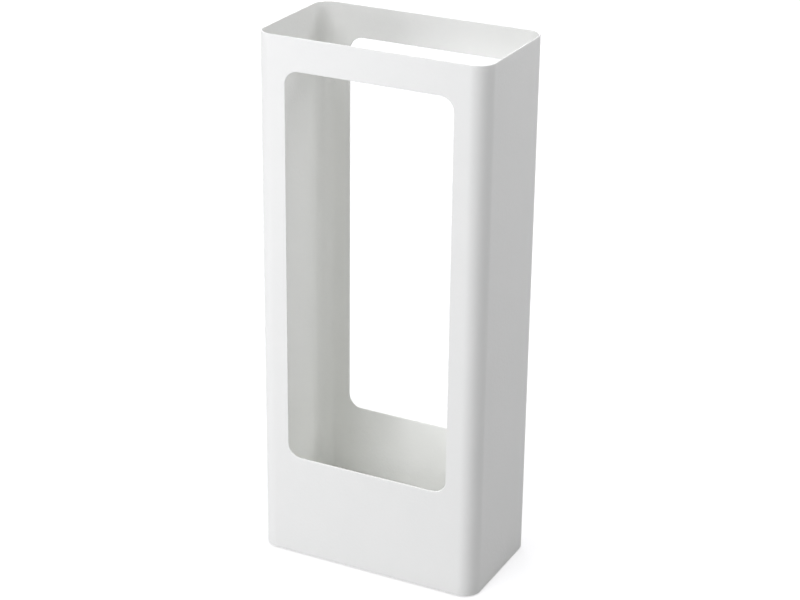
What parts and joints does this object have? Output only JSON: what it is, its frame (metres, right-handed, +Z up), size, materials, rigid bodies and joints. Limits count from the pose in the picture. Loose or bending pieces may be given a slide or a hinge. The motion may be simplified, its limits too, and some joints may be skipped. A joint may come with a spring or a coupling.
{
  "type": "umbrella stand",
  "caption": "Open-topped rectangular sheet-steel tube with rounded corners and a tall window through its front and rear walls, for standing umbrellas in; a loose drip tray lifts out of it.",
  "frame": {"origin": "on the floor, under the middle of the stand's footprint", "axes": "+Z up; -Y out of the front, the wide face with a window; +X to the right seen from the front"},
  "size_m": [0.22, 0.12, 0.5],
  "materials": {
    "powder_coated_steel": "satin white powder coat",
    "tray_plastic": "fine moulded texture",
    "pad_elastomer": "matt"
  },
  "bodies": {
    "stand": {"front_shell": "powder_coated_steel", "rear_shell": "powder_coated_steel", "left_seam_weld": "powder_coated_steel", "right_seam_weld": "powder_coated_steel", "base_pan": "powder_coated_steel", "foot_pad_front_left": "pad_elastomer", "foot_pad_front_right": "pad_elastomer", "foot_pad_rear_left": "pad_elastomer", "foot_pad_rear_right": "pad_elastomer"},
    "tray": {"drip_tray": "tray_plastic"}
  },
  "joints": [
    {"name": "tray_lift", "type": "slide", "parent": "stand", "child": "tray", "axis": [0, 0, 1], "range_m": [0, 0.52]}
  ]
}
